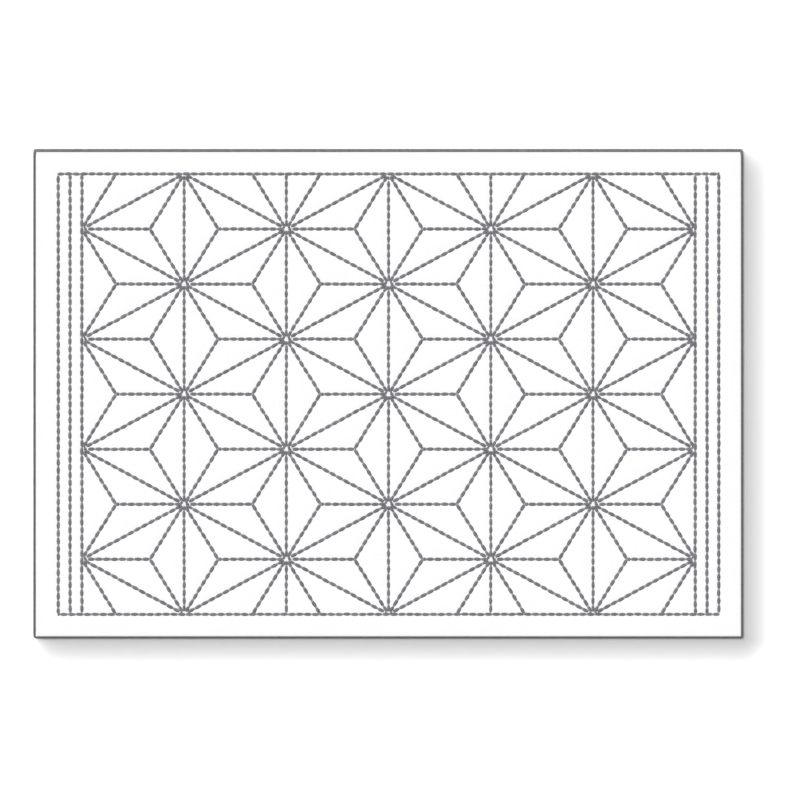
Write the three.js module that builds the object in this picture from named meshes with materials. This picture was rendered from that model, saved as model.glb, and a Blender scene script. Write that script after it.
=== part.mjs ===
// A flat table cloth in sashiko needlework: white cotton, oversewn all round in grey thread,
// with a hemp-leaf (asanoha) field of running stitch between ruled border lines.
// Millimetres, +Z up. The origin is the centre of the underside, and +X runs along the long side.

import * as THREE from 'three';

// Driving dimensions

const CLOTH_LENGTH = 450;
const CLOTH_WIDTH = 310;
const CLOTH_THICKNESS = 1.2;
const CORNER_RADIUS = 1.5;

// The star field: columns of stars, each column shifted half a repeat against its neighbours.
const COLUMN_GAPS = 6;
const COLUMN_PITCH = 65;
const ROW_REPEATS = 4;
const ROW_PITCH = 70;

// Each short side has two more ruled lines outside the field, and the field's own long sides run on
// to the outer one.
const BORDER_LINE_SPACING = 7.5;

// A stitched line as it stands on the cloth. It is a little fuller half way between its ends, where
// it stands out by this much on either side.
const THREAD_WIDTH = 1.5;
const THREAD_FULLNESS = 0.1;
const THREAD_HEIGHT = 0.6;

// The small hole that the stitches leave open at the middle of a star.
const STAR_EYE_RADIUS = 1.4;
const STAR_EYE_SEGMENTS = 6;

// The oversewn edge, a rounded ring half in and half out of the cloth's outline, which stands a
// little clear of the table.
const EDGE_WIDTH = 1.4;
const EDGE_LIFT = 0.2;
const EDGE_TOP = 1.8;
const EDGE_ROUNDING = 0.4;

const PIECE_GAP = 0.3;

// Worked out from the dimensions above

const FIELD_HALF_LENGTH = (COLUMN_GAPS * COLUMN_PITCH) / 2;
const FIELD_HALF_WIDTH = (ROW_REPEATS * ROW_PITCH) / 2;
const MIDDLE_LINE_X = FIELD_HALF_LENGTH + BORDER_LINE_SPACING;
const FRAME_LINE_X = FIELD_HALF_LENGTH + 2 * BORDER_LINE_SPACING;
const THREAD_HALF = THREAD_WIDTH / 2;
const THREAD_BASE = CLOTH_THICKNESS + PIECE_GAP;

const COTTON = new THREE.MeshStandardMaterial({ color: 0xfdfdfc, roughness: 0.9, metalness: 0 });
const GREY_THREAD = new THREE.MeshStandardMaterial({ color: 0x55585f, roughness: 0.75, metalness: 0 });
const EDGE_THREAD = new THREE.MeshStandardMaterial({ color: 0x626262, roughness: 0.75, metalness: 0 });

// Outlines

function rectangle(minX, maxX, minY, maxY) {
  return [
    new THREE.Vector2(minX, minY),
    new THREE.Vector2(maxX, minY),
    new THREE.Vector2(maxX, maxY),
    new THREE.Vector2(minX, maxY),
  ];
}

function roundedRectangle(halfLength, halfWidth, radius) {
  const outline = new THREE.Shape();
  outline.absarc(halfLength - radius, halfWidth - radius, radius, 0, Math.PI / 2);
  outline.absarc(radius - halfLength, halfWidth - radius, radius, Math.PI / 2, Math.PI);
  outline.absarc(radius - halfLength, radius - halfWidth, radius, Math.PI, 1.5 * Math.PI);
  outline.absarc(halfLength - radius, radius - halfWidth, radius, 1.5 * Math.PI, 2 * Math.PI);
  outline.closePath();
  return outline;
}

const middleOf = (points) =>
  points.reduce((sum, point) => sum.add(point), new THREE.Vector2()).divideScalar(points.length);

// The bare cloth that stitched lines along all the given sides leave open between them.
function openCell(corners) {
  const inner = corners.map((corner, i) => {
    const back = corners.at(i - 1).clone().sub(corner).normalize();
    const onward = corners[(i + 1) % corners.length].clone().sub(corner).normalize();
    const step = THREAD_HALF / Math.abs(back.cross(onward));
    return back.add(onward).multiplyScalar(step).add(corner);
  });
  const middle = middleOf(inner);
  const outline = inner.flatMap((corner, i) => {
    const side = middleOf([corner, inner[(i + 1) % inner.length]]);
    const inward = middle.clone().sub(side).normalize();
    return [corner, side.addScaledVector(inward, THREAD_FULLNESS)];
  });
  return new THREE.Path(outline);
}

function threadSolid(outline) {
  const solid = new THREE.ExtrudeGeometry(outline, {
    depth: THREAD_HEIGHT,
    bevelEnabled: false,
    curveSegments: STAR_EYE_SEGMENTS,
  });
  return solid.translate(0, 0, THREAD_BASE);
}

// The plan of the hemp-leaf field

const columnX = (column) => column * COLUMN_PITCH - FIELD_HALF_LENGTH;
const isShifted = (column) => column % 2 === 0;

// The star centres of a column, from the near side to the far one. A shifted column starts half a
// repeat in, so that the others have a star on each long side of the field.
function starsOf(column) {
  const start = isShifted(column) ? ROW_PITCH / 2 : 0;
  const count = isShifted(column) ? ROW_REPEATS : ROW_REPEATS + 1;
  const rows = Array.from({ length: count }, (_, row) => start + row * ROW_PITCH - FIELD_HALF_WIDTH);
  return rows.map((y) => new THREE.Vector2(columnX(column), y));
}

// Two stars of one column and the star between them in the next are a triangle of the field.
function trianglesOn(column, neighbour) {
  const stars = starsOf(column);
  const tips = starsOf(neighbour).filter((tip) => Math.abs(tip.y) < stars.at(-1).y);
  return tips.map((tip, row) => [stars[row], stars[row + 1], tip]);
}

// The leaf lines, from the corners of a triangle to its middle, part it into three cells.
function leafCells(triangle) {
  const middle = middleOf(triangle);
  return triangle.map((corner, i) => [corner, triangle[(i + 1) % 3], middle]);
}

// At a long side of the field, each gap between columns has half a triangle, which one leaf line
// parts into two cells.
function sideCells(shifted, other, side) {
  const y = side * FIELD_HALF_WIDTH;
  const star = new THREE.Vector2(columnX(shifted), y - (side * ROW_PITCH) / 2);
  const foot = new THREE.Vector2(columnX(shifted), y);
  const tip = new THREE.Vector2(columnX(other), y);
  const leafEnd = foot.clone().lerp(tip, 1 / 3);
  return [
    [star, foot, leafEnd],
    [star, leafEnd, tip],
  ];
}

function fieldCells() {
  const cells = [];
  for (let column = 0; column < COLUMN_GAPS; column += 1) {
    const next = column + 1;
    const triangles = [...trianglesOn(column, next), ...trianglesOn(next, column)];
    const [shifted, other] = isShifted(column) ? [column, next] : [next, column];
    cells.push(...triangles.flatMap(leafCells));
    cells.push(...sideCells(shifted, other, -1), ...sideCells(shifted, other, 1));
  }
  return cells;
}

// Only the stars inside the field are open at their middle.
function openStars() {
  const columns = Array.from({ length: COLUMN_GAPS - 1 }, (_, i) => i + 1);
  return columns.flatMap(starsOf).filter((star) => Math.abs(star.y) < FIELD_HALF_WIDTH);
}

// Sub-parts

function clothGeometry() {
  const setBack = EDGE_WIDTH / 2 + PIECE_GAP;
  const outline = roundedRectangle(CLOTH_LENGTH / 2 - setBack, CLOTH_WIDTH / 2 - setBack, CORNER_RADIUS);
  return new THREE.ExtrudeGeometry(outline, { depth: CLOTH_THICKNESS, bevelEnabled: false, curveSegments: 3 });
}

function edgeGeometry() {
  const halfLength = CLOTH_LENGTH / 2;
  const halfWidth = CLOTH_WIDTH / 2;
  const reach = EDGE_WIDTH / 2 - EDGE_ROUNDING;
  const outline = roundedRectangle(halfLength + reach, halfWidth + reach, CORNER_RADIUS);
  outline.holes.push(roundedRectangle(halfLength - reach, halfWidth - reach, CORNER_RADIUS));
  const ring = new THREE.ExtrudeGeometry(outline, {
    depth: EDGE_TOP - EDGE_LIFT - 2 * EDGE_ROUNDING,
    bevelThickness: EDGE_ROUNDING,
    bevelSize: EDGE_ROUNDING,
    bevelSegments: 2,
    curveSegments: 3,
  });
  return ring.translate(0, 0, EDGE_LIFT + EDGE_ROUNDING);
}

function starStitchGeometry() {
  const reachX = FIELD_HALF_LENGTH + THREAD_HALF;
  const reachY = FIELD_HALF_WIDTH + THREAD_HALF;
  const outline = new THREE.Shape(rectangle(-reachX, reachX, -reachY, reachY));
  outline.holes.push(...fieldCells().map(openCell));
  for (const star of openStars()) {
    outline.holes.push(new THREE.Path().absarc(star.x, star.y, STAR_EYE_RADIUS, 0, 2 * Math.PI));
  }
  return threadSolid(outline);
}

// The ruled lines outside the field at the +X end: the frame line, the middle line, and the long
// sides' run out to them.
function borderStitchGeometry() {
  const inX = FIELD_HALF_LENGTH + THREAD_HALF + PIECE_GAP;
  const outX = FRAME_LINE_X + THREAD_HALF;
  const openX = MIDDLE_LINE_X - THREAD_HALF;
  const outerY = FIELD_HALF_WIDTH + THREAD_HALF;
  const innerY = FIELD_HALF_WIDTH - THREAD_HALF;
  const outline = new THREE.Shape([
    new THREE.Vector2(inX, -outerY),
    new THREE.Vector2(outX, -outerY),
    new THREE.Vector2(outX, outerY),
    new THREE.Vector2(inX, outerY),
    new THREE.Vector2(inX, innerY),
    new THREE.Vector2(openX, innerY),
    new THREE.Vector2(openX, -innerY),
    new THREE.Vector2(inX, -innerY),
  ]);
  outline.holes.push(openCell(rectangle(MIDDLE_LINE_X, FRAME_LINE_X, -FIELD_HALF_WIDTH, FIELD_HALF_WIDTH)));
  return threadSolid(outline);
}

// The object

function piece(name, geometry, material) {
  const mesh = new THREE.Mesh(geometry, material);
  mesh.name = name;
  return mesh;
}

const mat = new THREE.Group();
mat.add(piece('cloth', clothGeometry(), COTTON));
mat.add(piece('edge_stitches', edgeGeometry(), EDGE_THREAD));
mat.add(piece('star_stitches', starStitchGeometry(), GREY_THREAD));

const rightBorder = piece('border_stitches_right', borderStitchGeometry(), GREY_THREAD);
const leftBorder = piece('border_stitches_left', borderStitchGeometry(), GREY_THREAD);
leftBorder.rotation.z = Math.PI;
mat.add(rightBorder, leftBorder);

export default mat;
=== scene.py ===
import math

import bmesh
import bpy
import numpy as np
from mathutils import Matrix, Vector


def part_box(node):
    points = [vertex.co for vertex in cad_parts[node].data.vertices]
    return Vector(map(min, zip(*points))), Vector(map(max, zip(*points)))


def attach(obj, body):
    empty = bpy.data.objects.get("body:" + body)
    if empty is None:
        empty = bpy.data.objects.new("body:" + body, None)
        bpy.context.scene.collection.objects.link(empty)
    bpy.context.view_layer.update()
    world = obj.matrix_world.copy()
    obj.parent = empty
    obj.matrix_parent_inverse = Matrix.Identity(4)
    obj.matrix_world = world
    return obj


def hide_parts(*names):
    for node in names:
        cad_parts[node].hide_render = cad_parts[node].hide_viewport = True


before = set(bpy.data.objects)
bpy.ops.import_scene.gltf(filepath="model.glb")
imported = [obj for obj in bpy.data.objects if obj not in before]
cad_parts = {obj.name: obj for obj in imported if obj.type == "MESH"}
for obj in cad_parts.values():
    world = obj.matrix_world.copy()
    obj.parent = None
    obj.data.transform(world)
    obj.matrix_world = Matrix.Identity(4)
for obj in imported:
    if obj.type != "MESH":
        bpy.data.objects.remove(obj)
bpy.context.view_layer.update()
print("frame", len(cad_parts), "nodes")

mm = 0.001
draws = np.random.default_rng(26)

# What the frame gives
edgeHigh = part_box("edge_stitches")[1]
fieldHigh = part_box("star_stitches")[1]
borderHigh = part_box("border_stitches_right")[1]
ribHalf = 0.75 * mm  # half of a line's width on the solids
edgeHalf = 0.7 * mm  # how far the oversewing stands out from the cloth there
clothHalf = Vector((edgeHigh.x - edgeHalf, edgeHigh.y - edgeHalf))
clothMiddle = Vector((-0.15, 0.3)) * mm  # the field is not quite in the cloth's middle
fieldHalf = Vector((fieldHigh.x - ribHalf, fieldHigh.y - ribHalf))
frameLineX = borderHigh.x - ribHalf
middleLineX = (fieldHalf.x + frameLineX) / 2


def deselectAll():
    if bpy.context.object and bpy.context.object.mode == "EDIT":
        bpy.ops.object.mode_set(mode="OBJECT")
    bpy.ops.object.select_all(action="DESELECT")


# Ends edit mode with all faces pointing outward
def turnFacesOutward():
    bpy.ops.mesh.select_all(action="SELECT")
    bpy.ops.mesh.normals_make_consistent(inside=False)
    bpy.ops.object.mode_set(mode="OBJECT")


# The plan: every stitched line as its family, its two ends, what it meets there, and its first stitch

stitching = {
    "columnGaps": 6,
    "rowRepeats": 4,
    "step": 5.0 * mm,  # from one stitch to the next
    "gap": 0.06 * mm,  # cloth left bare between two stitches
    "shortest": 0.25,  # a stitch that is cut to less than this share of a step is left out
    # how far on from its line's start the middle of the first stitch comes, in steps
    "early": 0.3,
    "late": 0.72,
    "slantUp": 0.05,
    "leafRight": 0.16,
    # how far from a line's end its thread stops, by what the line meets there
    "insets": {
        "star": 0.95 * mm,
        "halfStar": 1.2 * mm,
        "joint": 0.15 * mm,
        "line": 0.5 * mm,
        "corner": -0.5 * mm,
    },
    "starInsetChange": 0.35 * mm,  # at a star it is up to this much more, by chance
    "lateInset": 0.5 * mm,  # and this much more where the stitch there is a long one
    "dot": 0.5,  # a star's stitch below this share of a step is a mere dot
    "dotGap": 0.6 * mm,  # extra cloth left bare beyond a dot
}

starKinds = ("star", "halfStar")


def columnX(column):
    return (2 * column / stitching["columnGaps"] - 1) * fieldHalf.x


def rowPitch():
    return 2 * fieldHalf.y / stitching["rowRepeats"]


def isShifted(column):
    return column % 2 == 0


# A shifted column starts half a repeat in, and the others have a half star at both ends
def starsOf(column):
    start = rowPitch() / 2 if isShifted(column) else 0.0
    count = stitching["rowRepeats"] + (0 if isShifted(column) else 1)
    return [Vector((columnX(column), start + row * rowPitch() - fieldHalf.y)) for row in range(count)]


def starKind(star):
    inside = abs(star.x) < fieldHalf.x - mm and abs(star.y) < fieldHalf.y - mm
    return "star" if inside else "halfStar"


def ruledLines():
    lines = []
    top = fieldHalf.y
    early, late = stitching["early"], stitching["late"]
    for x, first in (
        (-frameLineX, early), (-middleLineX, late), (-fieldHalf.x, late),
        (frameLineX, late), (middleLineX, early), (fieldHalf.x, early),
    ):
        lines.append(("side", Vector((x, -top)), Vector((x, top)), "line", "line", first))
    for y, first in ((-top, late), (top, early)):
        start, end = Vector((-frameLineX, y)), Vector((frameLineX, y))
        lines.append(("long", start, end, "corner", "corner", first))
    return lines


def uprightRun(x, stars):
    stops = [(star.y, starKind(star)) for star in stars]
    if stars[0].y > -fieldHalf.y + mm:
        stops = [(-fieldHalf.y, "line")] + stops + [(fieldHalf.y, "line")]
    lines = []
    for (y0, kind0), (y1, kind1) in zip(stops, stops[1:]):
        lines.append(("upright", Vector((x, y0)), Vector((x, y1)), kind0, kind1, stitching["late"]))
    return lines


# The straight lines from the stars of one column to those of the next
def slantLines(here, onward):
    lines = []
    for star in here:
        for other in onward:
            if abs(other.y - star.y) < rowPitch():
                first = stitching["slantUp" if other.y > star.y else "late"]
                lines.append(("slant", star, other, starKind(star), starKind(other), first))
    return lines


# Two stars and the one between them in the next column are a triangle, and a leaf's lines run
# from its corners to its middle
def leafLines(ours, theirs):
    lines = []
    tips = [tip for tip in theirs if abs(tip.y) < ours[-1].y]
    for lower, upper, tip in zip(ours, ours[1:], tips):
        middle = (lower + upper + tip) / 3
        for corner in (lower, upper, tip):
            goesRight = corner is tip and middle.x > tip.x
            first = stitching["leafRight" if goesRight else "late"]
            lines.append(("leaf", corner, middle, starKind(corner), "joint", first))
    return lines


# The half triangles at the field's long sides have one leaf line each
def endLeafLines(shifted, other):
    lines = []
    leafX = shifted[0].x + (other[0].x - shifted[0].x) / 3
    for star, side in ((shifted[0], -1), (shifted[-1], 1)):
        end = Vector((leafX, side * fieldHalf.y))
        lines.append(("leaf", star, end, starKind(star), "line", stitching["late"]))
    return lines


def fieldLines():
    lines = []
    gaps = stitching["columnGaps"]
    for column in range(1, gaps):
        lines += uprightRun(columnX(column), starsOf(column))
    for column in range(gaps):
        here, onward = starsOf(column), starsOf(column + 1)
        lines += slantLines(here, onward) + leafLines(here, onward) + leafLines(onward, here)
        lines += endLeafLines(here, onward) if isShifted(column) else endLeafLines(onward, here)
    return lines


# How far from a line's end its thread stops. A stitch's middle comes the given number of steps
# from that end.
def insetAt(kind, steps):
    inset = stitching["insets"][kind]
    if kind in starKinds:
        inset += draws.uniform(0, stitching["starInsetChange"])
        inset += stitching["lateInset"] if steps % 1 > 0.5 else 0
    return inset


def isDot(kind, step):
    return kind in starKinds and step < stitching["dot"] * stitching["step"]


# Each line is stepped off evenly, and the insets at its two ends cut its first and last stitch short
def stepOff(line):
    family, start, end, kind0, kind1, first = line
    run = end - start
    step, gap = stitching["step"], stitching["gap"]
    insets = [insetAt(kind0, first), insetAt(kind1, run.length / step - first)]
    marks = (first - 0.5 + np.arange(-1, math.ceil(run.length / step) + 2)) * step
    marks = np.clip(marks, insets[0], run.length - insets[1] + gap)
    steps = np.diff(marks)
    kept = steps > stitching["shortest"] * step
    places, steps = marks[:-1][kept], steps[kept]
    if isDot(kind0, steps[0]):
        places[1] += stitching["dotGap"]
        steps[1] -= stitching["dotGap"]
    if isDot(kind1, steps[-1]):
        steps[-2] -= stitching["dotGap"]
    return {
        "family": family,
        "start": start,
        "along": run.normalized(),
        "length": run.length,
        "insets": (places[0], run.length - places[-1] - steps[-1] + gap),
        "kinds": (kind0, kind1),
        "first": first,
        "steps": steps,
        "places": places,
    }


steppedLines = [stepOff(line) for line in ruledLines() + fieldLines()]
print("lines", len(steppedLines), "stitches", sum(len(line["steps"]) for line in steppedLines))


# The cloth, which the stitching draws down along every line

cloth = {
    "topCells": (320, 220),
    "backCells": (160, 110),
    "crown": 1.26 * mm,  # top of the cloth between the lines
    "thickness": 0.62 * mm,
    "rimInset": 0.15 * mm,  # the sheet stops this far inside the outline
    "rimTop": 0.95 * mm,
    "rimBottom": 0.7 * mm,
    "rimFall": 1.6 * mm,  # the cloth thins towards the rim over this width
    "marginTop": 1.02 * mm,
    "marginBottom": 0.3 * mm,
    "marginEnd": 2.0 * mm,  # the margin is fully down this far in from the cloth's edge
    "marginWave": 0.025 * mm,  # height of the slow waves in the margin
    "seam": 0.16 * mm,  # narrow trough right along a line
    "seamReach": 1.3 * mm,
    "draw": 0.17 * mm,  # wide soft trough to both sides
    "drawReach": 6.0 * mm,
    "gapRise": 0.015 * mm,  # the cloth comes up between two stitches
    "wave": 0.05 * mm,  # height of the slow waves in the field
    "waves": 9,
    "waveLengths": (30, 90),  # shortest and longest, in millimetres
}


def smoothStep(t):
    t = np.clip(t, 0.0, 1.0)
    return t * t * (3 - 2 * t)


def drawWave():
    wavelength = draws.uniform(*cloth["waveLengths"]) * mm
    return wavelength, draws.uniform(0, math.tau), draws.uniform(0, math.tau)


waves = [drawWave() for _ in range(cloth["waves"])]


def slowWave(x, y):
    total = np.zeros_like(x)
    for wavelength, heading, phase in waves:
        onward = x * math.cos(heading) + y * math.sin(heading)
        total += np.sin(math.tau * onward / wavelength + phase)
    return total / len(waves) ** 0.5


# Heights of the cloth's top and of its underside, at points in plan
def clothSurfaces(x, y):
    nearest = np.full(x.shape, np.inf)
    rise = np.zeros_like(x)
    for line in steppedLines:
        sx, sy = line["start"]
        ux, uy = line["along"]
        along = (x - sx) * ux + (y - sy) * uy
        onLine = np.clip(along, 0, line["length"])
        away = np.hypot(x - sx - onLine * ux, y - sy - onLine * uy)
        phase = (along + stitching["gap"] / 2) / stitching["step"] - line["first"] + 0.5
        closer = away < nearest
        nearest = np.where(closer, away, nearest)
        rise = np.where(closer, np.cos(math.tau * phase), rise)
    seam = np.exp(-((nearest / cloth["seamReach"]) ** 2))
    wide = np.exp(-((nearest / cloth["drawReach"]) ** 2))
    top = cloth["crown"] - cloth["seam"] * seam - cloth["draw"] * wide
    top += cloth["gapRise"] * rise * seam + cloth["wave"] * slowWave(x, y)
    back = top - cloth["thickness"]
    # The margin lies down towards the table, and the rim is pressed thin by the oversewing.
    outside = np.maximum(np.abs(x) - frameLineX, np.abs(y) - fieldHalf.y)
    margin = smoothStep(outside / (clothHalf.x - frameLineX - cloth["marginEnd"]))
    top += (cloth["marginTop"] + cloth["marginWave"] * slowWave(y, x) - top) * margin
    back += (cloth["marginBottom"] - back) * margin
    fromSides = clothHalf.x - np.abs(x - clothMiddle.x), clothHalf.y - np.abs(y - clothMiddle.y)
    rim = 1 - smoothStep((np.minimum(*fromSides) - cloth["rimInset"]) / cloth["rimFall"])
    top += (cloth["rimTop"] - top) * rim
    back += (cloth["rimBottom"] - back) * rim
    return top, back


def readPoints(mesh):
    points = np.empty(len(mesh.vertices) * 3)
    mesh.vertices.foreach_get("co", points)
    return points.reshape(-1, 3)


def writePoints(mesh, points):
    mesh.vertices.foreach_set("co", points.astype(np.float32).ravel())
    mesh.update()


# Surface 0 is the cloth's top, and 1 its underside
def layGrid(name, cells, surface):
    deselectAll()
    bpy.ops.mesh.primitive_grid_add(x_subdivisions=cells[0], y_subdivisions=cells[1], size=2)
    grid = bpy.context.object
    grid.name = name
    points = readPoints(grid.data)
    points[:, 0] = clothMiddle.x + points[:, 0] * (clothHalf.x - cloth["rimInset"])
    points[:, 1] = clothMiddle.y + points[:, 1] * (clothHalf.y - cloth["rimInset"])
    points[:, 2] = clothSurfaces(points[:, 0], points[:, 1])[surface]
    writePoints(grid.data, points)
    return grid


def makeCloth():
    top = layGrid("cloth_sheet", cloth["topCells"], 0)
    back = layGrid("cloth_back", cloth["backCells"], 1)
    bpy.ops.object.mode_set(mode="EDIT")
    bpy.ops.mesh.select_all(action="SELECT")
    bpy.ops.mesh.flip_normals()
    deselectAll()
    back.select_set(True)
    top.select_set(True)
    bpy.context.view_layer.objects.active = top
    bpy.ops.object.join()
    bpy.ops.object.mode_set(mode="EDIT")
    bpy.ops.mesh.select_mode(type="EDGE")
    bpy.ops.mesh.select_all(action="DESELECT")
    bpy.ops.mesh.select_non_manifold()
    bpy.ops.mesh.bridge_edge_loops()
    bpy.ops.mesh.select_mode(type="VERT")
    turnFacesOutward()
    bpy.ops.object.shade_smooth()
    return top


# Thread: a stitch or a turn is modelled once or a few times, as masters, and its copies are joined

thread = {
    "fibreSpan": 10 * mm,  # length of thread that the fibres' texture covers once
    "shadeChange": 0.12,  # a stitch is up to this much lighter or darker than the others
}


def extrudeBy(x, z):
    bpy.ops.mesh.extrude_region_move(TRANSFORM_OT_translate={"value": (x, 0, z)})


# A stitch is drawn out ring by ring from a lobed end face, as a straight rod
def modelStitch(name, shape, startTurn):
    deselectAll()
    bpy.ops.mesh.primitive_circle_add(
        vertices=2 * shape["plies"], radius=1, fill_type="NGON", rotation=(0, math.pi / 2, 0),
    )
    stitch = bpy.context.object
    stitch.name = name
    bpy.ops.object.transform_apply(location=False, rotation=True, scale=False)
    bpy.ops.object.mode_set(mode="EDIT")
    bpy.ops.mesh.select_mode(type="VERT")
    edited = bmesh.from_edit_mesh(stitch.data)
    for vertex in edited.verts:
        vertex.select_set(vertex.index % 2 == 1)
    edited.select_flush(False)
    bmesh.update_edit_mesh(stitch.data)
    groove = shape["groove"]
    bpy.ops.transform.resize(value=(1, groove, groove), center_override=(0, 0, 0))
    bpy.ops.mesh.select_all(action="SELECT")
    for _ in shape["rings"][1:]:
        extrudeBy(1, 0)
    deselectAll()
    return shapeStitch(stitch, shape, startTurn)


# The rod, with its rings one unit apart, takes the stitch's twist, length, fullness and arch
def shapeStitch(stitch, shape, startTurn):
    points = readPoints(stitch.data)
    ring = np.rint(points[:, 0]).astype(int)
    place, full, lift = (np.array(column)[ring] for column in zip(*shape["rings"]))
    angle = np.arctan2(points[:, 2], points[:, 1])
    radius = np.hypot(points[:, 1], points[:, 2])
    around = angle / math.tau  # stays with its ply, so that the fibres follow the twist
    crest = (radius > (1 + shape["groove"]) / 2).astype(float)
    turned = angle + startTurn + ring * shape["twist"]
    points[:, 0] = place * shape["halfLength"]
    points[:, 1] = radius * np.cos(turned) * full * shape["width"] / 2
    points[:, 2] = radius * np.sin(turned) * full * shape["height"] / 2 + lift
    writePoints(stitch.data, points)
    bpy.context.view_layer.objects.active = stitch
    stitch.select_set(True)
    bpy.ops.object.mode_set(mode="EDIT")
    turnFacesOutward()
    # Painted light: the stitch's ends are painted paler, as light bounced up from the white cloth.
    return takeMaster(stitch, around, crest, 1 + shape["paintedBounce"] * np.abs(place) ** shape["paintedBounceFall"])


# The arrays of a master: its points, faces, texture places, crests and the light painted on its ends
def takeMaster(piece, around, crest, paintedEndLight):
    points = readPoints(piece.data)
    faces = [list(face.vertices) for face in piece.data.polygons]
    places = []
    for face in faces:
        # A face that crosses the start of the round goes on past its end.
        furthest = max(around[v] for v in face)
        for v in face:
            turn = around[v] + 1 if around[v] < furthest - 0.5 else around[v]
            places.append((points[v, 0] / thread["fibreSpan"] + 0.5, turn))
    bpy.data.objects.remove(piece)
    return {"points": points, "faces": faces, "places": np.array(places), "crest": crest, "paintedEndLight": paintedEndLight}


def makeMasters(name, shape):
    turns = [k * shape["startTurn"] for k in range(shape["masters"])]
    return [modelStitch(f"{name}_{k}", shape, turn) for k, turn in enumerate(turns)]


# Copies of the masters as one mesh. Each placed copy is (master, points in place, shade)
def joinCopies(name, placed):
    points, faces, places, crests, shades = [], [], [], [], []
    base = 0
    for master, moved, shade in placed:
        points.append(moved)
        faces += [[base + v for v in face] for face in master["faces"]]
        places.append(master["places"])
        crests.append(master["crest"])
        # The shade holds the stitch's own tone times the light painted on its ends.
        shades.append(master["paintedEndLight"] * shade)
        base += len(moved)
    mesh = bpy.data.meshes.new(name)
    mesh.from_pydata(np.concatenate(points).tolist(), [], faces)
    texturePlaces = np.concatenate(places).astype(np.float32)
    mesh.uv_layers.new(name="along").data.foreach_set("uv", texturePlaces.ravel())
    for attribute, values in (("crest", crests), ("shade", shades)):
        layer = mesh.attributes.new(attribute, "FLOAT", "POINT")
        layer.data.foreach_set("value", np.concatenate(values).astype(np.float32))
    mesh.polygons.foreach_set("use_smooth", np.ones(len(mesh.polygons), bool))
    mesh.update()
    piece = bpy.data.objects.new(name, mesh)
    bpy.context.scene.collection.objects.link(piece)
    return piece


# Fullness and rise are given for the stitch's two ends
def placeStitch(master, shape, middle, heading, seen, height, fullness=(1.0, 1.0), rises=(0.0, 0.0)):
    points = master["points"] * (seen / shape["seenLength"], 1, 1)
    along = (master["points"][:, 0] / shape["halfLength"] + 1) / 2
    points[:, 1] *= fullness[0] * (1 - along) + fullness[1] * along
    c, s = math.cos(heading), math.sin(heading)
    moved = np.empty_like(points)
    moved[:, 0] = middle[0] + c * points[:, 0] - s * points[:, 1]
    moved[:, 1] = middle[1] + s * points[:, 0] + c * points[:, 1]
    moved[:, 2] = height + points[:, 2] + rises[0] * (1 - along) + rises[1] * along
    return moved


def stitchShade():
    return 1 + thread["shadeChange"] * draws.uniform(-1, 1)


def headingOf(line):
    return math.atan2(line["along"].y, line["along"].x)


# The stitches of the front

topStitch = {
    "masters": 3,
    "startTurn": math.radians(31),  # between one master and the next
    "plies": 4,
    "width": 2.31 * mm,
    "height": 0.66 * mm,
    "groove": 0.89,
    "twist": math.radians(34),
    "halfLength": 2.45 * mm,
    "seenLength": 4.78 * mm,  # what shows of it above the cloth
    # place along the half length, fullness, height of the middle above the cloth
    "rings": [
        (-1.00, 0.59, -0.05 * mm),
        (-0.92, 0.72, 0.03 * mm),
        (-0.72, 0.82, 0.11 * mm),
        (-0.38, 0.95, 0.16 * mm),
        (0.00, 1.05, 0.18 * mm),
        (0.38, 0.95, 0.16 * mm),
        (0.72, 0.82, 0.11 * mm),
        (0.92, 0.72, 0.03 * mm),
        (1.00, 0.59, -0.05 * mm),
    ],
    "paintedBounce": 1.7,  # painted light: how much paler the thread is painted where it goes down into the white cloth, as light bounced from the cloth
    "paintedBounceFall": 7,  # how suddenly the painted light comes in
    # each family's fullness, and how high it lies where lines pile up on a star
    "families": {
        "long": (0.91, 0.0),
        "side": (0.955, 0.0),
        "upright": (0.895, 0.0),
        "slant": (0.99, 0.1 * mm),
        "leaf": (0.99, 0.2 * mm),
    },
    # fullness of the stitches that meet at a star, at their inner and outer ends
    "crowded": {"star": (0.8, 0.96), "halfStar": (0.84, 0.98)},
    "dotFullness": 0.75,  # a dot's, against the inner end above
    # the hand's unevenness
    "sideways": 0.05 * mm,
    "turn": math.radians(1.2),
    "lengthChange": 0.02,
}


def crowding(kind, step):
    inner, outer = topStitch["crowded"][kind]
    if isDot(kind, step):
        inner = outer = inner * topStitch["dotFullness"]
    return inner, outer


def layTopStitches():
    jobs = []
    for line in steppedLines:
        side = Vector((-line["along"].y, line["along"].x))
        full, pile = topStitch["families"][line["family"]]
        last = len(line["steps"]) - 1
        for i, (place, step) in enumerate(zip(line["places"], line["steps"])):
            seen = step - stitching["gap"]
            middle = line["start"] + line["along"] * (place + seen / 2)
            middle += side * draws.normal(0, topStitch["sideways"])
            turned = headingOf(line) + draws.normal(0, topStitch["turn"])
            length = seen * (1 + draws.normal(0, topStitch["lengthChange"]))
            startsAtStar = i == 0 and line["kinds"][0] in starKinds
            endsAtStar = i == last and line["kinds"][1] in starKinds
            rises = (pile if startsAtStar else 0.0, pile if endsAtStar else 0.0)
            shares = (1.0, 1.0)
            if startsAtStar:
                shares = crowding(line["kinds"][0], step)
            elif endsAtStar:
                shares = reversed(crowding(line["kinds"][1], step))
            fullness = [full * share for share in shares]
            jobs.append((line["family"], middle, turned, length, fullness, rises))
    return jobs


# One piece for each family of lines
def makeTopStitches(masters):
    jobs = layTopStitches()
    x = np.array([job[1].x for job in jobs])
    y = np.array([job[1].y for job in jobs])
    heights = clothSurfaces(x, y)[0]
    placed = {}
    for (family, middle, turned, length, fullness, rises), height in zip(jobs, heights):
        master = masters[draws.integers(len(masters))]
        moved = placeStitch(master, topStitch, middle, turned, length, height, fullness, rises)
        placed.setdefault(family, []).append((master, moved, stitchShade()))
    return {family: joinCopies(f"{family}_stitches", copies) for family, copies in placed.items()}


# The thread on the underside, which shows between two top stitches and runs on across a star

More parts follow.
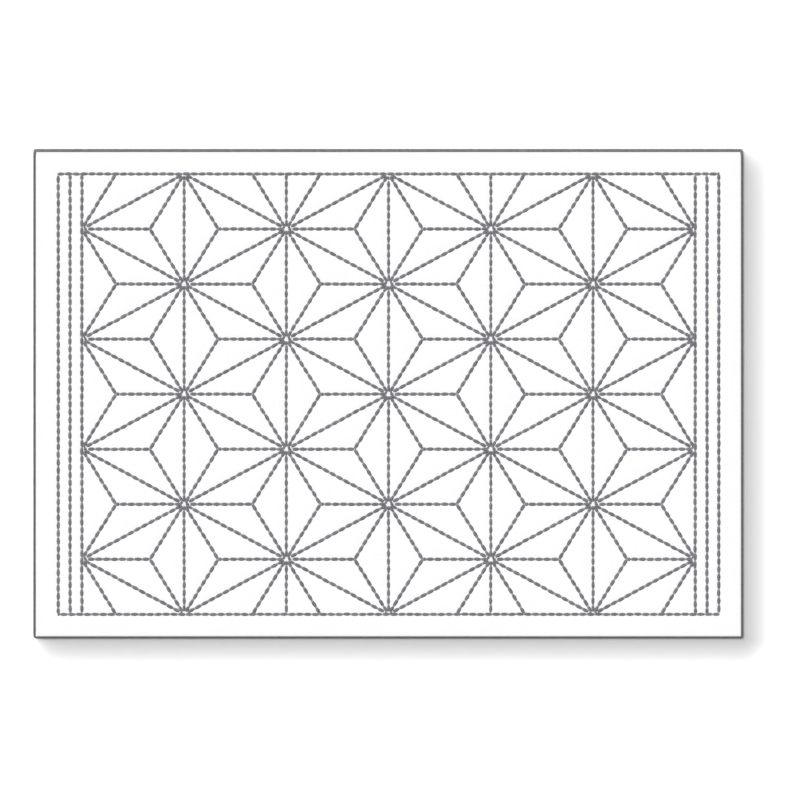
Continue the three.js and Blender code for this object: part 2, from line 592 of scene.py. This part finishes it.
backStitch = {
    "masters": 2,
    "startTurn": math.radians(23),
    "plies": 3,
    "width": 1.25 * mm,
    "height": 0.42 * mm,
    "groove": 0.89,
    "twist": math.radians(40),
    "halfLength": 1.05 * mm,
    "seenLength": 1.8 * mm,
    "rings": [
        (-1.00, 0.34, 0.26 * mm),
        (-0.62, 0.84, 0.04 * mm),
        (0.00, 1.00, 0.00 * mm),
        (0.62, 0.84, 0.04 * mm),
        (1.00, 0.34, 0.26 * mm),
    ],
    "paintedBounce": 0.0,
    "paintedBounceFall": 7,
    "restHeight": 0.22 * mm,
    "longer": 0.9 * mm,  # than the gap in front that it crosses
}


def makeBackStitches(masters):
    placed = []
    for line in steppedLines:
        ends = line["places"] + line["steps"] - stitching["gap"]
        spans = [(end, place - end) for end, place in zip(ends, line["places"][1:])]
        spans.append((0.0, line["insets"][0]))
        spans.append((line["length"] - line["insets"][1], line["insets"][1]))
        for start, length in spans:
            seen = max(length, 0.0) + backStitch["longer"]
            middle = line["start"] + line["along"] * (start + length / 2)
            master = masters[draws.integers(len(masters))]
            moved = placeStitch(
                master, backStitch, middle, headingOf(line), seen, backStitch["restHeight"],
            )
            placed.append((master, moved, stitchShade()))
    return joinCopies("back_stitches", placed)


# The oversewing round the rim

whip = {
    "radius": 0.37 * mm,
    "sides": 5,
    "bend": 0.38 * mm,  # radius of a turn round the rim
    "bendSteps": 4,
    "bendOut": 0.1 * mm,
    "bendHeight": 0.85 * mm,
    "reach": 0.86 * mm,
    "dip": 0.3 * mm,
    # the two lengths from the needle hole to the bend: shares of the reach and of the dip
    "straights": [(0.5, 0.8), (0.5, 0.2)],
    "pitch": 0.66 * mm,
    "slant": 1.3,  # how far a turn moves on along the rim, in pitches
    "cornerRadius": 0.8 * mm,
    # what changes along the far, left, and near and right sides: painted light, lighter on the far and
    # left sides that face the key, then length inwards and outwards
    "far": (0.7, 0.75, -0.1),
    "left": (0.12, 0.0, 0.0),
    "nearRight": (0.0, -0.15, -0.13),
    "cornerBlend": 4.0 * mm,  # the changes of two sides blend over this length before a corner
    # the hand's unevenness
    "sway": 0.03 * mm,
    "reachChange": 0.02,
}


# One turn: in from the top, round the rim, and in again underneath
def modelWhip():
    deselectAll()
    w = whip
    top = w["bendHeight"] + w["bend"]
    inner = w["bendOut"] - w["reach"]
    bpy.ops.mesh.primitive_circle_add(
        vertices=w["sides"], radius=w["radius"], fill_type="NGON",
        location=(inner, 0, top - w["dip"]), rotation=(0, math.pi / 2, 0),
    )
    turn = bpy.context.object
    turn.name = "whip_turn"
    bpy.ops.object.transform_apply(location=True, rotation=True, scale=False)
    bpy.ops.object.mode_set(mode="EDIT")
    bpy.ops.mesh.select_all(action="SELECT")
    for reachShare, dipShare in w["straights"]:
        extrudeBy(w["reach"] * reachShare, w["dip"] * dipShare)
    bpy.ops.mesh.spin(
        steps=w["bendSteps"], angle=-math.pi, center=(w["bendOut"], 0, w["bendHeight"]), axis=(0, 1, 0),
    )
    for reachShare, dipShare in reversed(w["straights"]):
        extrudeBy(-w["reach"] * reachShare, w["dip"] * dipShare)
    turnFacesOutward()
    points = readPoints(turn.data)
    around = np.arctan2(points[:, 2] - w["bendHeight"], points[:, 1]) / math.tau
    return takeMaster(turn, around, np.ones(len(points)), np.ones(len(points)))


# Places round the rim: a point on the outer edge and the way out from it
def rimPlaces():
    radius, pitch = whip["cornerRadius"], whip["pitch"]
    quarter = math.pi / 2
    hx, hy = clothHalf.x - radius, clothHalf.y - radius
    corners = [clothMiddle + Vector(corner) for corner in ((hx, hy), (-hx, hy), (-hx, -hy), (hx, -hy))]
    sides = [2 * hx, 2 * hy, 2 * hx, 2 * hy]
    places = []
    for i, (corner, side) in enumerate(zip(corners, sides)):
        arcCount = round(quarter * (radius + whip["bend"]) / pitch)
        for k in range(arcCount):
            angle = quarter * (i + (k + 0.5) / arcCount)
            out = Vector((math.cos(angle), math.sin(angle)))
            places.append((corner + out * radius, out))
        out = Vector((math.cos(quarter * (i + 1)), math.sin(quarter * (i + 1))))
        onward = Vector((-out.y, out.x))
        count = round(side / pitch)
        for k in range(count):
            places.append((corner + out * radius + onward * (side * (k + 0.5) / count), out))
    return places


# Changes from side to side: light painted on the thread, lighter along the far and left sides that face
# the key, and the turns' reach inwards and outwards
def rimPaintedLightAndReach(spot):
    pastFar, pastNear = spot.y - clothHalf.y, -spot.y - clothHalf.y
    pastLeft, pastRight = -spot.x - clothHalf.x, spot.x - clothHalf.x
    past = np.array((pastFar, pastLeft, max(pastNear, pastRight)))
    weights = smoothStep(past / whip["cornerBlend"] + 1)
    return 1 + weights @ np.array((whip["far"], whip["left"], whip["nearRight"]))


def makeWhipping():
    master = modelWhip()
    points = master["points"]
    rings = np.arange(len(points)) // whip["sides"]
    onward = whip["slant"] * whip["pitch"] * (rings / rings.max() - 0.5)
    placed = []
    for spot, out in rimPlaces():
        # The first value is painted light, which makes the thread lighter on the sides that face the key.
        shade, inwards, outwards = rimPaintedLightAndReach(spot)
        sway = points[:, 1] + onward + draws.normal(0, whip["sway"])
        across = points[:, 0] * np.where(points[:, 0] < 0, inwards, outwards)
        across *= 1 + draws.normal(0, whip["reachChange"])
        moved = np.empty_like(points)
        moved[:, 0] = spot.x + out.x * across - out.y * sway
        moved[:, 1] = spot.y + out.y * across + out.x * sway
        moved[:, 2] = points[:, 2]
        placed.append((master, moved, stitchShade() * shade))
    return joinCopies("edge_whipping", placed)


# Finishes. A number as a socket's name is its place in the node's list of inputs.

def addNode(tree, kind, sockets=None, **settings):
    made = tree.nodes.new("ShaderNode" + kind)
    for name, value in settings.items():
        setattr(made, name, value)
    for name, value in (sockets or {}).items():
        if isinstance(value, bpy.types.NodeSocket):
            tree.links.new(value, made.inputs[name])
        else:
            made.inputs[name].default_value = value
    return made


def calc(tree, operation, *values, clamp=False):
    return addNode(tree, "Math", dict(enumerate(values)), operation=operation, use_clamp=clamp).outputs[0]


def noise(tree, place, detail, scale=1.0, stretch=None):
    if stretch:
        place = addNode(tree, "Mapping", {"Vector": place, "Scale": stretch}).outputs[0]
    return addNode(tree, "TexNoise", {"Vector": place, "Scale": scale, "Detail": detail})


# Carries a value over from the range before to the range after
def spread(tree, value, before=(0.0, 1.0), after=(0.0, 1.0)):
    sockets = {0: value, 1: before[0], 2: before[1], 3: after[0], 4: after[1]}
    return addNode(tree, "MapRange", sockets).outputs[0]


def startMaterial(name, **shader):
    material = bpy.data.materials.new(name)
    material.use_nodes = True
    tree = material.node_tree
    principled = tree.nodes["Principled BSDF"]
    for socket, value in shader.items():
        principled.inputs[socket.replace("_", " ")].default_value = value
    return material, tree, principled


def finishMaterial(tree, shader, colour, height, look):
    bump = addNode(tree, "Bump", {"Height": height, "Strength": look["bump"], "Distance": look["relief"]})
    tree.links.new(colour, shader.inputs["Base Color"])
    tree.links.new(bump.outputs[0], shader.inputs["Normal"])


cottonLook = {
    # the tone on the weave's raised threads, and the darker tone painted into its hollows as shade
    "thread": (0.9, 0.9, 0.9, 1),
    "between": (0.8, 0.8, 0.8, 1),
    "paintedShadeRange": (0.3, 1.6),  # heights of the weave that have those two tones; the low places get the painted shade
    "pitch": 0.5 * mm,
    "crossing": 3.0,  # how suddenly one thread takes over from the other
    "wander": 0.05 * mm,
    "wanderScale": 420.0,
    "slubScales": ((60, 1900, 1), (1900, 60, 1)),
    "slub": 0.45,  # height of the thick places, against the weave's
    "bump": 0.6,
    "relief": 0.06 * mm,
}


def cottonFinish():
    look = cottonLook
    material, tree, shader = startMaterial(
        "white_cotton", Roughness=0.92, Specular_IOR_Level=0.25, Sheen_Weight=0.12, Sheen_Roughness=0.5,
    )
    place = addNode(tree, "TexCoord").outputs["Object"]
    drift = noise(tree, place, 2.0, scale=look["wanderScale"]).outputs["Color"]
    shifted = addNode(tree, "VectorMath", {0: drift, 1: (0.5, 0.5, 0.5)}, operation="SUBTRACT").outputs[0]
    wander = {0: shifted, "Scale": 2 * look["wander"]}
    scaled = addNode(tree, "VectorMath", wander, operation="SCALE").outputs[0]
    moved = addNode(tree, "VectorMath", {0: place, 1: scaled}, operation="ADD").outputs[0]
    axes = addNode(tree, "SeparateXYZ", {0: moved}).outputs
    turns = [calc(tree, "MULTIPLY", axes[k], math.pi / look["pitch"]) for k in (0, 1)]
    sines = [calc(tree, "SINE", turn) for turn in turns]
    crests = [calc(tree, "ABSOLUTE", sine) for sine in sines]
    parity = calc(tree, "MULTIPLY", sines[0], sines[1])
    over = calc(tree, "MULTIPLY_ADD", parity, look["crossing"], 0.5, clamp=True)
    weave = addNode(tree, "Mix", {0: over, 2: crests[0], 3: crests[1]}, data_type="FLOAT").outputs[0]
    # Thick and thin places run along single threads, both ways of the cloth.
    slubs = [noise(tree, place, 1.0, stretch=stretch).outputs[0] for stretch in look["slubScales"]]
    slub = calc(tree, "ADD", slubs[0], slubs[1])
    height = calc(tree, "MULTIPLY_ADD", slub, look["slub"], weave)
    # The colour follows the height: the weave's hollows are painted darker, as shade.
    tones = {0: spread(tree, height, before=look["paintedShadeRange"]), 6: look["between"], 7: look["thread"]}
    colour = addNode(tree, "Mix", tones, data_type="RGBA").outputs[2]
    finishMaterial(tree, shader, colour, height, look)
    return material


threadLook = {
    "slate": (0.177, 0.178, 0.194),
    "edgeGrey": (0.12, 0.12, 0.12),
    "plyRound": 0.6,
    "paintedPlyShade": (0.62, 1.08),  # painted shade in the groove, and the tone on the crest
    "fibreScale": (20, 34, 1),
    "fibreRange": (0.25, 0.75),
    "fibreTones": (0.84, 1.16),
    "fibreHeight": 0.35,
    "bump": 0.7,
    "relief": 0.09 * mm,
}


def threadFinish(name, colour):
    look = threadLook
    material, tree, shader = startMaterial(
        name, Roughness=0.72, Specular_IOR_Level=0.3, Sheen_Weight=0.15, Sheen_Roughness=0.4,
    )
    place = addNode(tree, "UVMap", uv_map="along").outputs[0]
    fibre = noise(tree, place, 3.0, stretch=look["fibreScale"]).outputs[0]
    crest = addNode(tree, "Attribute", attribute_name="crest").outputs["Fac"]
    shade = addNode(tree, "Attribute", attribute_name="shade").outputs["Fac"]
    # Each ply is round, so the shade painted into its colour deepens quickly where it meets the next.
    ply = calc(tree, "POWER", crest, look["plyRound"])
    groove = spread(tree, ply, after=look["paintedPlyShade"])
    strand = spread(tree, fibre, before=look["fibreRange"], after=look["fibreTones"])
    factor = calc(tree, "MULTIPLY", calc(tree, "MULTIPLY", groove, strand), shade)
    tinted = addNode(tree, "VectorMath", {0: colour, "Scale": factor}, operation="SCALE").outputs[0]
    height = calc(tree, "MULTIPLY_ADD", fibre, look["fibreHeight"], ply)
    finishMaterial(tree, shader, tinted, height, look)
    return material


# Studio

light = {
    "sky": 0.73,  # strength of the light from the backdrop
    "keyStrength": 1.84,
    "keyElevation": math.radians(50),
    "keySpread": math.radians(24),
    # a fan of low soft lights for the table alone
    "washes": 7,
    "washFan": math.radians(34),  # to either side of the key's heading
    "washStrength": 7.7,
    "washElevation": math.radians(3.8),
    "washSpread": math.radians(6.7),
    "from": math.radians(135),  # the key comes from the upper left of the picture
    "table": 0.525,  # the table's grey
    "tableSize": 14.0,
}


def makeTable():
    deselectAll()
    bpy.ops.mesh.primitive_plane_add(size=light["tableSize"])
    table = bpy.context.object
    table.name = "table_top"
    material, _, shader = startMaterial("pale_floor", Roughness=1.0, Specular_IOR_Level=0.0)
    shader.inputs["Base Color"].default_value = (light["table"],) * 3 + (1,)
    table.data.materials.append(material)
    return table


def addSun(name, heading, strength, elevation, spreadAngle):
    sun = bpy.data.lights.new(name, "SUN")
    sun.energy, sun.angle = strength, spreadAngle
    lamp = bpy.data.objects.new(name, sun)
    bpy.context.scene.collection.objects.link(lamp)
    level = math.cos(elevation)
    toLight = Vector((math.cos(heading) * level, math.sin(heading) * level, math.sin(elevation)))
    lamp.rotation_mode = "QUATERNION"
    lamp.rotation_quaternion = toLight.to_track_quat("Z", "Y")
    return lamp


def addLights(table):
    addSun("key", light["from"], light["keyStrength"], light["keyElevation"], light["keySpread"])
    # The washes graze the table, and the cloth's edge shades them off on the far side.
    onlyTable = bpy.data.collections.new("table_only")
    onlyTable.objects.link(table)
    wash = light["washStrength"], light["washElevation"], light["washSpread"]
    for k in range(light["washes"]):
        heading = light["from"] + light["washFan"] * (2 * k / (light["washes"] - 1) - 1)
        lamp = addSun(f"table_wash_{k}", heading, *wash)
        lamp.light_linking.receiver_collection = onlyTable


# Seen directly the backdrop is plain white, and it lights the cloth more softly than that
def addSky():
    world = bpy.context.scene.world or bpy.data.worlds.new("studio")
    bpy.context.scene.world = world
    world.use_nodes = True
    tree = world.node_tree
    background = tree.nodes["Background"]
    background.inputs["Color"].default_value = (1, 1, 1, 1)
    seenDirectly = addNode(tree, "LightPath").outputs["Is Camera Ray"]
    strength = spread(tree, seenDirectly, after=(light["sky"], 1.0))
    tree.links.new(strength, background.inputs["Strength"])


camera = {
    "focal": 200.0,
    "sensor": 36.0,
    "pixels": 800,
    "pixelSize": 0.6358 * mm,  # the length of cloth in one pixel
    "aim": (7.3 * mm, -3.74 * mm),  # the point in the picture's middle
    "clipEnd": 30.0,
}


def addCamera():
    eye = bpy.data.cameras.new("camera")
    eye.lens, eye.sensor_width = camera["focal"], camera["sensor"]
    eye.clip_end = camera["clipEnd"]
    seat = bpy.data.objects.new("camera", eye)
    bpy.context.scene.collection.objects.link(seat)
    distance = camera["pixels"] * camera["pixelSize"] * camera["focal"] / camera["sensor"]
    seat.location = (*camera["aim"], distance + cloth["crown"])
    bpy.context.scene.camera = seat
    bpy.context.scene.view_settings.view_transform = "Standard"


addLights(makeTable())
addSky()
addCamera()
print("studio ready")

cotton = cottonFinish()
slateThread = threadFinish("slate_thread", threadLook["slate"])
greyThread = threadFinish("grey_edge_thread", threadLook["edgeGrey"])
print("finishes ready")

sheet = makeCloth()
sheet.data.materials.clear()
sheet.data.materials.append(cotton)
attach(sheet, "root")
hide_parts("cloth")
print("cloth", len(sheet.data.polygons))

topMasters = makeMasters("stitch", topStitch)
backMasters = makeMasters("back", backStitch)
pieces = makeTopStitches(topMasters)
standsFor = {
    "side": ["border_stitches_right", "border_stitches_left", "star_stitches"],
    "long": ["border_stitches_right", "border_stitches_left", "star_stitches"],
    "upright": ["star_stitches"],
    "slant": ["star_stitches"],
    "leaf": ["star_stitches"],
}
for family, piece in pieces.items():
    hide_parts(*standsFor[family])
pieces["back"] = makeBackStitches(backMasters)
for piece in pieces.values():
    piece.data.materials.append(slateThread)
    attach(piece, "root")
    print(piece.name, len(piece.data.polygons))

edge = makeWhipping()
edge.data.materials.append(greyThread)
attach(edge, "root")
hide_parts("edge_stitches")
print("edge", len(edge.data.polygons))
